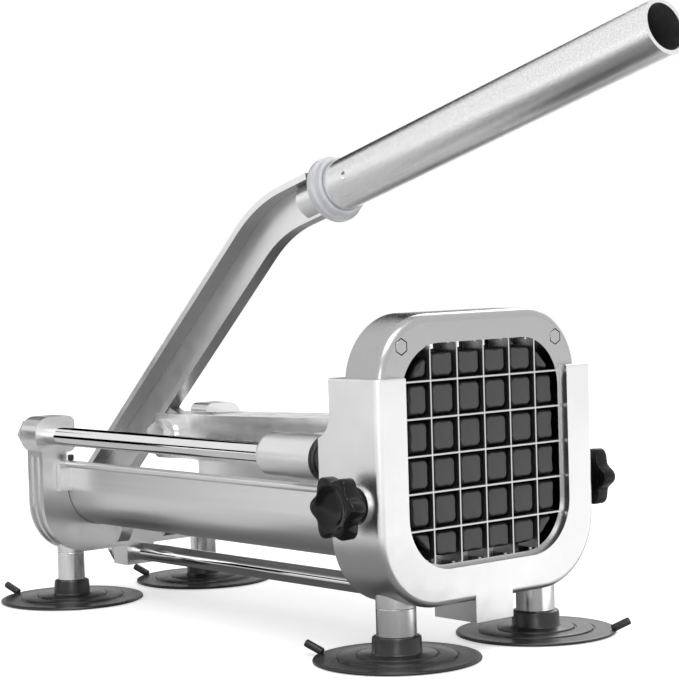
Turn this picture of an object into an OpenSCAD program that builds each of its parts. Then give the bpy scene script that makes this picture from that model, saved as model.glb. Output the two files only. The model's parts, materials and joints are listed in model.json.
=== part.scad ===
// French fry cutter: a bench press with a blade grid, a lever, a link and a sliding push block.
// Front is -Y, rear is +Y, and the suction cups stand on z = 0.

/* [Cutting grid] */
// Side of one square cell of the grid
cell_pitch = 12.7; // [8:0.1:14]
// Cells along each side
cells = 6; // [4:1:6]
// Thickness of a blade
blade_t = 0.6; // [0.5:0.1:1.2]
// Depth of a blade, front to rear
blade_depth = 10; // [6:0.5:12]
// How far the blades stand forward of the blade frame
blade_proud = 1; // [0:0.1:1.2]
// Height of the middle of the grid above the bench
grid_z = 70.2; // [68:0.1:76]

/* [Blade frame] */
// Width of the frame from its opening to its outside
frame_wall = 10.2; // [9:0.1:12]
// Depth of the frame, front to rear
frame_depth = 17; // [15:0.5:20]
// Corner radius of the opening
opening_r = 18; // [12:0.5:20]
// Corner radius of the outside
frame_r = 24; // [20:0.5:28]
// Rounding of the front edge
frame_edge = 3.2; // [1:0.1:4]
// Width across the flats of the flush hexagons
frame_hex = 5.4; // [4:0.1:6]

/* [Front housing] */
// Thickness of the flange in front of the blade frame
flange_t = 3.6; // [2.5:0.1:5]
// Thickness of the side walls
cheek_t = 3.6; // [3:0.1:5]
// Thickness of the rear wall
rear_wall_t = 4; // [3:0.1:5]
// Height of the top of the side walls
cheek_top = 97.5; // [92:0.5:104]
// Thickness of the floor under the blade frame
floor_t = 3.3; // [3:0.1:6]
// Outer corner radius at the bottom
housing_r = 26; // [22:0.5:30]
// Rounding of the front edge
housing_edge = 2.4; // [1:0.1:3]
// How far the rod bosses stand behind the rear wall
boss_len = 6.2; // [4:0.1:8]
// Height of the rod bosses
boss_h = 15.6; // [14:0.2:18]
// Gap between the blade frame and its pocket
pocket_gap = 0.3; // [0.2:0.05:0.6]

/* [Guide rods] */
// Diameter of the rods
rod_d = 7.5; // [6:0.1:8]
// Distance between the two upper rods
rod_span = 90; // [89:0.5:93]
// Height of the upper rods
rod_z = 69; // [67:0.5:71]
// Height of the lower rod
low_rod_z = 16.4; // [15.5:0.1:17]

/* [Rear bracket] */
// Distance from the seat of the blade frame to the bracket
bracket_y = 203.6; // [190:1:230]
// Depth of the bracket, front to rear
bracket_t = 11; // [9:0.5:12]
// Width over the two arms
bracket_w = 100; // [98:0.5:104]
// Height of the underside
bracket_bottom = 20; // [19:0.5:21]
// Outer corner radius
bracket_r = 21; // [16:0.5:24]
// Width of an ear that holds a rod
ear_w = 19; // [17:0.5:20]
// Height of an ear
ear_h = 14.8; // [14:0.2:17]
// Depth of the two grooves along the outside
groove_cut = 1.2; // [0.5:0.1:2]

/* [Trough] */
// Outer width of the trough
trough_w = 76; // [75:0.2:77]
// Thickness of the sheet
sheet_t = 0.9; // [0.6:0.1:1.2]
// Corner radius of the outside
trough_r = 17; // [14:0.5:19]
// Height of the rolled edge
bead_z = 57; // [52:0.5:58]
// Diameter of the rolled edge
bead_d = 3; // [2:0.1:3.4]

/* [Feet] */
// Distance between the feet, side to side
foot_span = 68.4; // [64:0.2:72]
// Diameter of the front legs
front_leg_d = 14; // [12:0.5:16]
// Diameter of the rear legs
rear_leg_d = 11; // [9:0.5:12]
// Diameter of a suction cup
cup_d = 58.4; // [50:0.2:60]
// Height of a suction cup with its collar
cup_h = 8.4; // [7:0.1:10]

/* [Carriage] */
// Diameter of the sliding sleeves
sleeve_d = 16.6; // [15:0.1:17]
// Length of a sleeve
sleeve_len = 31; // [28:0.5:44]
// Thickness of the rubber rings in front of the sleeves
ring_t = 4.2; // [3:0.1:5]
// Thickness of the cross plate
cross_t = 6; // [4:0.5:7]
// Gap between a pin or rod and its hole, on the radius
running_gap = 0.05; // [0.03:0.01:0.1]

/* [Push block] */
// Gap between a post and the blades, on each side
post_gap = 0.55; // [0.3:0.05:0.8]
// Length of a post
post_len = 12.6; // [11:0.1:14]
// Chamfer round the front of a post
post_chamfer = 1.1; // [0.5:0.1:1.6]
// How far the posts stand behind the front edges of the blades, at rest
post_setback = 0.8; // [0.5:0.1:2]
// Thickness of the base of the block
block_base_t = 5; // [4:0.5:6]

/* [Lever] */
// Distance from the frame seat to the lever's pivot
pivot_y = 234.6; // [232:0.2:240]
// Height of the lever's pivot
pivot_z = 40; // [38:0.5:42]
// Distance from the pivot to the bend of the lever
lever_reach = 170.2; // [160:1:190]
// Slope of the lower arm
arm_angle = 42.2; // [40:0.2:44]
// Slope of the handle
handle_angle = 15.5; // [12:0.5:18]
// Depth of the arm, from flange to flange
arm_depth = 15.5; // [13:0.5:17]
// Width of the rear flange
arm_w = 19; // [15:0.5:20]
// Thickness of the web
web_t = 4.6; // [3.5:0.1:6]
// Radius of the bend
bend_r = 62; // [50:1:70]
// Outer diameter of the handle tube
tube_d = 19; // [17:0.2:22]
// Wall of the handle tube
tube_wall = 1.5; // [1:0.1:2]
// Length of the handle tube
tube_len = 166; // [140:1:200]
// Outer diameter of the plastic collar
collar_d = 25; // [23:0.2:28]

/* [Link] */
// Distance of the link's rear pin behind the frame seat, at rest
link_pin_y = 174.8; // [173:0.2:177]
// Height of the link's rear pin, at rest
link_pin_z = 67.3; // [66:0.1:69]
// Distance of the link's front pin behind the frame seat, at rest
front_pin_y = 56.6; // [56:0.2:58]
// Height of the link's front pin
front_pin_z = 70.2; // [69:0.1:71]
// Height of the link
link_h = 18; // [16:0.5:20]
// Width of the link over its body
link_w = 23; // [21.5:0.5:24]
// Width of the link at the lever
link_tail_w = 17; // [16:0.2:18]
// Thickness of the link's walls
link_t = 3; // [2.5:0.1:3.4]
// Diameter of the link's pins
pin_d = 8; // [6:0.2:8.4]

/* [Star knobs] */
// Diameter over the lobes
knob_d = 23; // [18:0.5:25]
// Thickness of the star
knob_t = 6; // [5:0.5:8]
// Distance of a knob's middle behind the frame seat
knob_y = 7.6; // [6:0.2:10]
// Height of the knobs
knob_z = 55; // [50:0.5:56]
// Length of the hub between star and housing
hub_len = 5; // [5:0.5:9]
// Diameter of the threaded stem
stem_d = 6; // [5:0.2:6.4]

/* [Hidden] */

// Overrun of a cutting tool past the face it cuts
cut = 1;
// Gap between two pieces that sit together without touching
seat_gap = 0.1;
$fn = 48;

// Opening of the blade frame and its outside
opening = cells * cell_pitch;
screw_share = 0.3;
frame_screw_inset = 10.8;
hex_groove = 0.35;
blade_pin_d = 1.5;
blade_pin_off = 1.7;
opening_half = opening / 2;
frame_half = opening_half + frame_wall;

// Housing, measured from the seat of the blade frame at y = 0
front_y = -flange_t;
pocket_half = frame_half + pocket_gap;
pocket_r = frame_r + pocket_gap;
pocket_depth = frame_depth + pocket_gap;
housing_half = pocket_half + cheek_t;
housing_bottom = grid_z - pocket_half - floor_t;
rear_y = pocket_depth + rear_wall_t;
window_gap = 1.1;
window_half = opening_half + window_gap;
boss_y = rear_y + boss_len;
boss_rise = 8.2;
boss_hollow = (boss_len * boss_len + boss_rise * boss_rise) / (2 * boss_len);

// Lugs under the housing and the bracket for the lower rod
lug_w = 18;
lug_depth = 21;
lug_drop = 7.6;
rear_lug_w = 13.8;
rear_lug_depth = 10;
rear_lug_step = 4;
rear_lug_share = 0.71;

// Rods
rod_r = rod_d / 2;
rod_x = rod_span / 2;
rod_seat = 8;
rod_end_cap = 2.2;
nut_af = 11;
nut_t = 4.4;
washer_d = 14;
washer_t = 1.2;

// Rear bracket
bracket_half = bracket_w / 2;
bracket_rear = bracket_y + bracket_t;
ear_x = rod_x - 1.5;
ear_r = 6.5;
ear_inner_r = 3;
groove_w = 2.8;
groove_shares = [0.33, 0.74];
trough_half = trough_w / 2;
trough_seat_gap = 0.2;
trough_gap = 0.7;
trough_bottom = grid_z - opening_half - trough_gap - sheet_t;
tab_w = 6.4;
tab_h = 11;
tab_t = 2.4;
rim_pad_w = 2.2;
rim_pad_len = 2;
rim_pad_h = 2.4;

// Pivot lugs behind the bracket
pivot_lug_t = 6;
pivot_lug_r = 10;
pivot_lug_gap = 0.4;
eye_w = 17;
eye_r = 9.5;
pivot_bolt_d = 8;
bolt_head_af = 12;
bolt_head_t = 5;
pivot_bush_wall = 1.2;
pivot_lug_x = eye_w / 2 + pivot_lug_gap;

// Feet
foot_x = foot_span / 2;
front_foot_y = 10;
rear_foot_y = bracket_y + bracket_t / 2;
cup_r = cup_d / 2;
rim_t = 1.1;
collar_r_share = 0.295;
step_shares = [0.71, 0.485];
step_h = 0.7;
cup_hollow = 3;
cup_wall = 1.6;
leg_embed = 5;
leg_screw_d = 5;
leg_screw_len = 11;
tab_len = 6.5;
tab_half = 1.7;
cup_tab_t = 1.2;
tab_angles = [117, -52, 110, 116];
rear_collar_share = 0.24;

// Carriage
sleeve_x = rod_x;
sleeve_y = boss_y + seat_gap + ring_t + seat_gap;
sleeve_step = 0.25;
ring_shares = [0.45, 0.38];
sleeve_round = 3;
sleeve_front_share = 0.42;
bush_wall = 1;
bush_len = 8;
cross_bottom = rod_z - 8.4;
cross_top = rod_z + 8.6;
cross_y = sleeve_y + seat_gap;
block_front = post_setback - blade_proud;
post_half = opening_half - 3;
post_r = opening_r - 2.6;
block_half = opening_half - 1.3;
block_r = opening_r - 1;
tooth_w = 5.2;
tooth_h = 1.8;
tooth_rise = 0.9;
block_base_y = block_front + post_len;
block_rear = block_base_y + block_base_t;
face_half = block_half - 3.6;
face_r = block_r - 4;
face_t = 4;
neck_w = 38;
neck_h = 34;
saddle_w = 13.6;
saddle_top = front_pin_z + 3.4;
saddle_bottom = front_pin_z - 11;
saddle_rear = front_pin_y + 9;
slot_gap = 0.5;
slot_rise = 16;
slot_lean = 9.5;
block_screw_d = 5;
block_screw_head = 8.4;
block_screw_head_t = 2.4;
block_screw_inset = 12;

// Lever, in its own plane: x is +Y and y is +Z
rear_flange_t = 2.4;
front_lip_t = 2.8;
front_lip_w = 5.8;
lug_r = 8;
lug_t = 10;
lug_boss_r = 6.6;
lug_lean_shares = [2.2, 0.9];
collar_t = 3;
collar_hub_t = 3.2;
collar_hub_share = 0.9;
turn = arm_angle - handle_angle;
bend_steps = 24;
bend_run = bend_r * tan(turn / 2);
arm_len = lever_reach - bend_run;
corner_y = pivot_y - lever_reach * cos(arm_angle);
corner_z = pivot_z + lever_reach * sin(arm_angle);
tube_start = 36;
spigot_gap = 0.1;
spigot_len = 30;
tube_r = tube_d / 2;
neck_run = 16;
neck_share = 0.47;
arm_end = tube_start - collar_t - 1.4;
handle_pin_d = 3;

// Link
link_r = link_h / 2;
link_dy = link_pin_y - front_pin_y;
link_dz = link_pin_z - front_pin_z;
link_len = sqrt(link_dy * link_dy + link_dz * link_dz);
link_tilt = atan(link_dz / link_dy);
link_end = 10;
link_corner = 4.5;
link_taper = 14;
link_tail = 13;
link_top_t = 2.6;
link_top_start = 10;
link_top_end = 30;
bolt_af = 11;
bolt_t = 4.6;
bolt_washer_t = 1;
bolt_washer_d = 14;
pin_r = pin_d / 2;

// Knobs
knob_r = knob_d / 2;
lobes = 6;
lobe_share = 0.3;
hollow_share = 1.12;
hub_r_share = 0.5;
dish_share = 0.52;
dish_depth = 1.2;
stem_r = stem_d / 2;
pad_t = 1.6;
pad_gap = 0.1;
thread_boss_t = 1.2;
thread_boss_d = 13;
knob_face_x = housing_half + thread_boss_t + seat_gap + hub_len + knob_t;

// Handle end and rear end set the middle of the part along Y
handle_end = tube_start + tube_len;
end_y = corner_y - handle_end * cos(handle_angle) - tube_r * sin(handle_angle);
far_y = pivot_y + pivot_lug_r;
middle_y = (end_y + far_y) / 2;

// Flat outline with four round corners, centred on the origin
module rounded(w, h, r) {
    square([w - 2 * r, h], center = true);
    square([w, h - 2 * r], center = true);
    for (sx = [-1, 1], sy = [-1, 1]) translate([sx * (w / 2 - r), sy * (h / 2 - r)]) circle(r);
}

// Outline with round lower corners and a flat top at the given height
module cradle(half, bottom, top, r) {
    intersection() {
        union() {
            translate([-half, bottom + r]) square([2 * half, top - bottom - r]);
            translate([-half + r, bottom]) square([2 * (half - r), r]);
            for (s = [-1, 1]) translate([s * (half - r), bottom + r]) circle(r);
        }
        translate([-half, bottom]) square([2 * half, top - bottom]);
    }
}

// Slab with a rounded edge round its top face
module pillow(w, h, r, depth, edge) {
    linear_extrude(depth - edge) rounded(w, h, r);
    linear_extrude(depth) rounded(w - 2 * edge, h - 2 * edge, r - edge);
    for (sx = [-1, 1], sy = [-1, 1])
        translate([sx * (w / 2 - r), sy * (h / 2 - r), depth - edge])
            rotate_extrude() translate([r - edge, 0]) circle(edge);
    for (s = [-1, 1]) {
        translate([s * (w / 2 - edge), 0, depth - edge]) rotate([90, 0, 0])
            cylinder(r = edge, h = h - 2 * r, center = true);
        translate([0, s * (h / 2 - edge), depth - edge]) rotate([0, 90, 0])
            cylinder(r = edge, h = w - 2 * r, center = true);
    }
}

// Two circles joined by their outer tangents
module strap(p, rp, q, rq) {
    v = q - p;
    run = norm(v);
    heading = atan2(v[1], v[0]);
    lean = acos((rp - rq) / run);
    dirs = [heading + lean, heading - lean];
    translate(p) circle(rp);
    translate(q) circle(rq);
    polygon([
        p + rp * [cos(dirs[0]), sin(dirs[0])], p + rp * [cos(dirs[1]), sin(dirs[1])],
        q + rq * [cos(dirs[1]), sin(dirs[1])], q + rq * [cos(dirs[0]), sin(dirs[0])]
    ]);
}

// Turns an outline in X and Z into a solid that runs towards +Y
module along_y(y, depth) {
    translate([0, y + depth, 0]) rotate([90, 0, 0]) linear_extrude(depth) children();
}

// Turns an outline in Y and Z into a solid centred on x = 0
module across_x(width) {
    rotate([90, 0, 90]) translate([0, 0, -width / 2]) linear_extrude(width) children();
}

// Cylinder along Y that starts at y, and cylinder along X that is centred on x
module bar_y(r, y, length) {
    translate([0, y, 0]) rotate([-90, 0, 0]) cylinder(r = r, h = length);
}
module bar_x(r, x, length) {
    translate([x - length / 2, 0, 0]) rotate([0, 90, 0]) cylinder(r = r, h = length);
}

// Hexagonal prism along X, from x towards the given side
module hex_x(af, x, length, side) {
    translate([x, 0, 0]) rotate([0, 90 * side, 0]) cylinder(d = af / cos(30), h = length, $fn = 6);
}

module in_place() {
    translate([0, -middle_y, 0]) children();
}

module front_housing() color("silver") in_place() difference() {
    union() {
        intersection() {
            tall = 2 * (grid_z - housing_bottom) + cheek_top;
            translate([0, rear_y, housing_bottom + tall / 2]) rotate([90, 0, 0])
                pillow(2 * housing_half, tall, housing_r, rear_y - front_y, housing_edge);
            along_y(front_y - cut, rear_y - front_y + 2 * cut)
                translate([-housing_half - cut, 0]) square([2 * (housing_half + cut), cheek_top]);
        }
        for (s = [-1, 1]) translate([s * (housing_half + rod_x - sleeve_d / 2) / 2, 0, 0])
            across_x(housing_half - rod_x + sleeve_d / 2) rod_boss_side();
        along_y(front_y, lug_depth) translate([0, housing_bottom])
            square([lug_w, 2 * lug_drop], center = true);
        for (s = [-1, 1]) translate([s * foot_x, front_foot_y, housing_bottom])
            cylinder(d = front_leg_d, h = 2 * floor_t);
        for (s = [-1, 1]) translate([s * (housing_half + thread_boss_t / 2), knob_y, knob_z])
            bar_x(thread_boss_d / 2, 0, thread_boss_t);
    }
    along_y(0, pocket_depth) cradle(pocket_half, grid_z - pocket_half, cheek_top + cut, pocket_r);
    along_y(front_y - cut, pocket_depth / 2 - front_y + cut)
        cradle(window_half, grid_z - window_half, cheek_top + cut, opening_r + window_gap);
    along_y(pocket_depth / 2, rear_y) trough_seat(cheek_top + cut);
    for (s = [-1, 1]) translate([s * rod_x, 0, rod_z]) bar_y(rod_r, boss_y - rod_seat, rod_seat + cut);
    translate([0, 0, low_rod_z])
        bar_y(rod_r, front_y + lug_depth - rod_seat, rear_y - front_y - lug_depth + rod_seat + cut);
    for (s = [-1, 1]) translate([s * (trough_half - sheet_t + bead_d / 2), 0, bead_z])
        bar_y(bead_d / 2 + seat_gap, rear_y, boss_len);
    translate([0, knob_y, knob_z]) bar_x(stem_r + running_gap, 0, 3 * housing_half);
    for (s = [-1, 1]) translate([s * foot_x, front_foot_y, housing_bottom - cut])
        cylinder(d = leg_screw_d, h = leg_screw_len / 3 + cut);
}

// Outline of the opening that the trough sits in
module trough_seat(top) {
    cradle(trough_half + trough_seat_gap, trough_bottom - trough_seat_gap, top, trough_r + trough_seat_gap);
}

// Side view of a rod boss: it flares out of the rear edge with hollow corners
module rod_boss_side() {
    translate([pocket_depth, rod_z - boss_h / 2]) square([boss_y - pocket_depth, boss_h]);
    for (s = [0, 1]) translate([rear_y, rod_z + (2 * s - 1) * boss_h / 2]) mirror([0, 1 - s]) difference() {
        translate([-seat_gap, -seat_gap]) square([boss_len + seat_gap, boss_rise + seat_gap]);
        translate([boss_hollow, boss_rise]) circle(boss_hollow);
    }
}

module blade_frame() color("lightgray") in_place() difference() {
    translate([0, frame_depth, grid_z]) rotate([90, 0, 0])
        pillow(2 * frame_half, 2 * frame_half, frame_r, frame_depth, frame_edge);
    along_y(-cut, frame_depth + 2 * cut) translate([0, grid_z]) rounded(opening, opening, opening_r);
    for (s = [-1, 1]) frame_corner(s) {
        bar_y(screw_share * frame_hex, 0, frame_depth + cut);
        translate([0, frame_edge, 0]) rotate([90, 30, 0])
            cylinder(d = frame_hex + 2 * hex_groove, h = frame_edge + cut, $fn = 6);
    }
    for (k = [1 : cells - 1], s = [-1, 1]) blade_pin_at(k, s) cylinder(d = blade_pin_d, h = frame_wall / 3);
}

// Place of a flush screw in an upper corner of the blade frame
module frame_corner(s) {
    reach = frame_half - frame_screw_inset;
    translate([s * reach, 0, grid_z + reach]) children();
}

// Place of a pin beside the end of an upright blade, pointing into the frame
module blade_pin_at(k, s) {
    x = (k - cells / 2) * cell_pitch - blade_pin_off;
    flat = opening_half - opening_r;
    over = max(0, abs(x) + blade_pin_d / 2 - flat);
    edge = flat + sqrt(opening_r * opening_r - over * over);
    translate([x, blade_proud + blade_pin_d / 2, grid_z + s * (edge - blade_pin_d / 4)])
        rotate([90 - 90 * s, 0, 0]) children();
}

// Outline that the blades and the block fill, a little larger than the opening
module blade_field(over) {
    rounded(opening + 2 * over, opening + 2 * over, opening_r + over);
}

module vertical_blades() color("gainsboro") in_place() intersection() {
    along_y(-blade_proud, blade_depth) translate([0, grid_z]) blade_field(0);
    difference() {
        for (k = [1 : cells - 1])
            translate([(k - cells / 2) * cell_pitch - blade_t / 2, -blade_proud, 0])
                cube([blade_t, blade_depth, grid_z + frame_half]);
        for (k = [1 : cells - 1])
            translate([-opening_half, blade_depth / 2 - blade_proud,
                       grid_z + (k - cells / 2) * cell_pitch - blade_t / 2])
                cube([opening, blade_depth, blade_t]);
    }
}

module horizontal_blades() color("gainsboro") in_place() intersection() {
    along_y(-blade_proud, blade_depth) translate([0, grid_z]) blade_field(0);
    difference() {
        for (k = [1 : cells - 1])
            translate([-opening_half, -blade_proud, grid_z + (k - cells / 2) * cell_pitch - blade_t / 2])
                cube([opening, blade_depth, blade_t]);
        for (k = [1 : cells - 1])
            translate([(k - cells / 2) * cell_pitch - blade_t / 2, -blade_proud - cut, 0])
                cube([blade_t, blade_depth / 2 + cut, grid_z + frame_half]);
    }
}

module blade_pins() color("white") in_place()
    for (k = [1 : cells - 1], s = [-1, 1]) blade_pin_at(k, s) cylinder(d = blade_pin_d, h = frame_wall / 3);

module frame_screws() color("darkgray") in_place() for (s = [-1, 1]) frame_corner(s) {
    bar_y(screw_share * frame_hex, frame_edge - seat_gap, frame_depth - frame_edge);
    translate([0, frame_edge, 0]) rotate([90, 30, 0])
        cylinder(d = frame_hex, h = frame_edge, $fn = 6);
}

// Outline of the bracket's frame without its ears
module bracket_frame(inset) {
    difference() {
        cradle(bracket_half - inset, bracket_bottom + inset, rod_z, bracket_r - inset);
        trough_seat(rod_z + cut);
    }
}

module rear_bracket() color("silver") in_place() difference() {
    union() {
        difference() {
            bracket_body();
            bracket_grooves();
        }
        for (s = [-1, 1]) translate([s * foot_x, rear_foot_y, bracket_bottom])
            cylinder(d = rear_leg_d, h = leg_embed);
    }
    for (s = [-1, 1]) translate([s * rod_x, 0, rod_z])
        bar_y(rod_r, bracket_y - cut, bracket_t + 2 * cut);
    translate([0, 0, low_rod_z]) bar_y(rod_r, bracket_y, bracket_t + rear_lug_depth);
    translate([0, pivot_y, pivot_z]) bar_x(pivot_bolt_d / 2, 0, 3 * eye_w);
    for (s = [-1, 1]) translate([s * foot_x, rear_foot_y, bracket_bottom - cut])
        cylinder(d = leg_screw_d, h = leg_embed + cut);
}

// Frame, ears, lug for the lower rod and pivot lugs, without any holes
module bracket_body() {
    along_y(bracket_y, bracket_t) bracket_frame(0);
    for (s = [-1, 1]) translate([s * ear_x, 0, rod_z + seat_gap]) mirror([s < 0 ? 1 : 0, 0, 0])
        along_y(bracket_y - seat_gap, bracket_t + 2 * seat_gap) ear_outline();
    translate([-rear_lug_w / 2, bracket_y + rear_lug_step, low_rod_z - rear_lug_share * lug_drop])
        cube([rear_lug_w, rear_lug_depth, bracket_bottom - low_rod_z + lug_drop]);
    for (s = [-1, 1]) translate([s * (pivot_lug_x + pivot_lug_t / 2), 0, 0])
        across_x(pivot_lug_t) pivot_lug_outline();
}

// Grooves along the outside, from below the ears round to the feet
module bracket_grooves() {
    for (share = groove_shares) along_y(bracket_y + share * bracket_t - groove_w / 2, groove_w)
        difference() {
            translate([-bracket_half - cut, bracket_bottom - cut])
                square([bracket_w + 2 * cut, rod_z - ear_h / 2 - bracket_bottom]);
            cradle(bracket_half - groove_cut, bracket_bottom + groove_cut, rod_z + ear_h,
                   bracket_r - groove_cut);
            translate([-foot_x, 0]) square([foot_span, bracket_bottom + bracket_r]);
        }
}

// Ear outline: round towards the outside and nearly square towards the middle
module ear_outline() {
    half = ear_w / 2;
    square([2 * (half - ear_r), ear_h], center = true);
    for (s = [-1, 1]) {
        translate([half - ear_r, s * (ear_h / 2 - ear_r)]) circle(ear_r);
        translate([-half + ear_inner_r, s * (ear_h / 2 - ear_inner_r)]) circle(ear_inner_r);
    }
    translate([half - 2 * ear_r, -ear_h / 2 + ear_r]) square([2 * ear_r, ear_h - 2 * ear_r]);
    translate([-half, -ear_h / 2 + ear_inner_r]) square([half, ear_h - 2 * ear_inner_r]);
    translate([-half + ear_inner_r, -ear_h / 2]) square([half - ear_inner_r, ear_h]);
}

// Side view of a pivot lug: a web that rises from the bracket's foot to the bolt
module pivot_lug_outline() {
    foot_z = bracket_bottom + pivot_lug_r;
    difference() {
        union() {
            strap([bracket_rear - pivot_lug_r / 2, foot_z], pivot_lug_r, [pivot_y, pivot_z], pivot_lug_r);
            translate([bracket_y, bracket_bottom]) square([bracket_t, pivot_lug_r]);
        }
        translate([bracket_y - bracket_t, trough_bottom - trough_seat_gap])
            square([2 * bracket_t + seat_gap, bracket_w]);
    }
}

module trough() color("gainsboro") in_place() {
    start = pocket_depth + seat_gap;
    length = bracket_rear - start;
    along_y(start, length) difference() {
        cradle(trough_half, trough_bottom, bead_z, trough_r);
        cradle(trough_half - sheet_t, trough_bottom + sheet_t, bead_z + cut, trough_r - sheet_t);
    }
    for (s = [-1, 1]) {
        translate([s * (trough_half - sheet_t + bead_d / 2), 0, bead_z])
            bar_y(bead_d / 2, rear_y + seat_gap, bracket_y - rear_y - 2 * seat_gap);
        translate([s * (trough_half + tab_w / 2 - sheet_t), bracket_y - tab_t, bead_z - tab_h / 2])
            translate([-tab_w / 2, 0, -tab_h / 2]) cube([tab_w, tab_t - seat_gap, tab_h]);
    }
}

module upper_rods() color("whitesmoke") in_place() for (s = [-1, 1]) translate([s * rod_x, 0, rod_z])
    bar_y(rod_r, boss_y - rod_seat, bracket_rear + washer_t + nut_t - boss_y + rod_seat);

module lower_rod() color("whitesmoke") in_place() translate([0, 0, low_rod_z]) {
    start = front_y + lug_depth - rod_seat;
    bar_y(rod_r, start, bracket_y + rear_lug_step + rear_lug_depth + washer_t + nut_t - start);
}

module rod_nuts() color("silver") in_place() {
    for (s = [-1, 1]) translate([s * rod_x, bracket_rear + seat_gap, rod_z]) washer_and_nut();
    translate([0, bracket_y + rear_lug_step + rear_lug_depth, low_rod_z]) washer_and_nut();
}

// Washer and hexagonal nut round a rod, from y = 0 towards the rear
module washer_and_nut() {
    difference() {
        union() {
            bar_y(washer_d / 2, 0, washer_t);
            translate([0, washer_t, 0]) rotate([-90, 0, 0])
                cylinder(d = nut_af / cos(30), h = nut_t - seat_gap, $fn = 6);
        }
        bar_y(rod_r, -cut, nut_t + washer_t + 2 * cut);
    }
}

module rod_rings() color([0.1, 0.1, 0.1]) in_place() for (s = [-1, 1]) translate([s * rod_x, 0, rod_z])
    difference() {
        union() {
            bar_y(ring_shares[0] * sleeve_d, boss_y, ring_t / 3);
            bar_y(ring_shares[1] * sleeve_d, boss_y, ring_t);
            bar_y(ring_shares[0] * sleeve_d, boss_y + ring_t * 2 / 3, ring_t / 3);
        }
        bar_y(rod_r, boss_y - cut, ring_t + 2 * cut);
    }

module rim_pads() color([0.1, 0.1, 0.1]) in_place() for (s = [-1, 1])
    translate([s * (trough_half - sheet_t + bead_d / 2) - rim_pad_w / 2, bracket_y - tab_t - rim_pad_len,
               bead_z + bead_d / 2])
        cube([rim_pad_w, rim_pad_len, rim_pad_h]);

module front_legs() color("gainsboro") in_place()
    for (s = [-1, 1]) translate([s * foot_x, front_foot_y, cup_h]) difference() {
        cylinder(d = front_leg_d, h = housing_bottom - cup_h);
        translate([0, 0, -cut]) cylinder(d = leg_screw_d, h = housing_bottom - cup_h + 2 * cut);
    }

module rear_legs() color("gainsboro") in_place()
    for (s = [-1, 1]) translate([s * foot_x, rear_foot_y, cup_h]) difference() {
        cylinder(d = rear_leg_d, h = bracket_bottom - cup_h);
        translate([0, 0, -cut]) cylinder(d = leg_screw_d, h = bracket_bottom - cup_h + 2 * cut);
    }

module leg_screws() color("silver") in_place() for (s = [-1, 1]) {
    translate([s * foot_x, front_foot_y, cup_h / 2])
        cylinder(d = leg_screw_d, h = housing_bottom - cup_h / 2 + leg_screw_len / 3);
    translate([s * foot_x, rear_foot_y, cup_h / 2])
        cylinder(d = leg_screw_d, h = bracket_bottom - cup_h / 2 + leg_embed);
}

// One suction cup: a thin dished disc with two ring steps, a collar and a pull tab
module cup(collar_share, tab_angle) {
    rings = [for (share = step_shares) share * cup_r];
    collar_r = collar_share * cup_r;
    difference() {
        union() {
            cylinder(r = cup_r, h = rim_t);
            cylinder(r = rings[0], h = rim_t + step_h);
            cylinder(r = rings[1], h = rim_t + 2 * step_h);
            cylinder(r1 = rings[1], r2 = collar_r, h = rim_t + 3 * step_h);
            cylinder(r = collar_r, h = cup_h);
            rotate([0, 0, tab_angle]) translate([cup_r - tab_half, -tab_half, 0]) {
                cube([tab_len, 2 * tab_half, cup_tab_t]);
                translate([tab_len, tab_half, 0]) cylinder(r = tab_half, h = 2 * cup_tab_t);
            }
        }
        translate([0, 0, -cut]) cylinder(r = rings[1], h = cut + rim_t);
        translate([0, 0, cup_h / 2]) cylinder(d = leg_screw_d, h = cup_h);
    }
}

module suction_cups() color([0.12, 0.12, 0.12]) in_place() for (k = [0 : 3]) {
    s = k % 2 == 0 ? -1 : 1;
    translate([s * foot_x, k < 2 ? front_foot_y : rear_foot_y, 0])
        cup(k < 2 ? collar_r_share : rear_collar_share, tab_angles[k]);
}

module pivot_bolt() color("silver") in_place() translate([0, pivot_y, pivot_z]) {
    reach = pivot_lug_x + pivot_lug_t;
    bar_x(pivot_bolt_d / 2, nut_t / 2, 2 * reach + nut_t);
    hex_x(bolt_head_af, -reach, bolt_head_t, -1);
}

module pivot_nut() color("silver") in_place() translate([0, pivot_y, pivot_z]) difference() {
    hex_x(bolt_head_af, pivot_lug_x + pivot_lug_t, nut_t, 1);
    bar_x(pivot_bolt_d / 2, 0, 4 * eye_w);
}

// Outline of a sleeve and its rounded rear end, turned round the rod
module sleeve_profile() {
    r = sleeve_d / 2;
    step = sleeve_front_share * sleeve_len;
    square([r, step]);
    square([r - sleeve_step, sleeve_len - sleeve_round]);
    square([r - sleeve_step - sleeve_round, sleeve_len]);
    translate([r - sleeve_step - sleeve_round, sleeve_len - sleeve_round]) circle(sleeve_round);
}

module carriage() color("silver") in_place() difference() {
    union() {
        for (s = [-1, 1]) translate([s * sleeve_x, sleeve_y, rod_z]) rotate([-90, 0, 0])
            rotate_extrude() sleeve_profile();
        translate([-sleeve_x, cross_y, cross_bottom]) cube([2 * sleeve_x, cross_t, cross_top - cross_bottom]);
        along_y(block_rear + face_t - cut, cross_y - block_rear - face_t + 2 * cut) translate([0, grid_z])
            rounded(neck_w, neck_h, neck_w / 6);
        along_y(block_rear, face_t) translate([0, grid_z]) rounded(2 * face_half, 2 * face_half, face_r);
        across_x(saddle_w) saddle_outline();
    }
    for (s = [-1, 1]) translate([s * sleeve_x, 0, rod_z])
        bar_y(rod_r + running_gap + bush_wall, sleeve_y - cut, sleeve_len + 2 * cut);
    across_x(2 * saddle_w) slot_outline();
    for (x = [-1, 1], z = [-1, 1]) block_screw_at(x, z)
        bar_y(block_screw_d / 2, block_rear - cut, face_t + 2 * cut);
}

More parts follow.
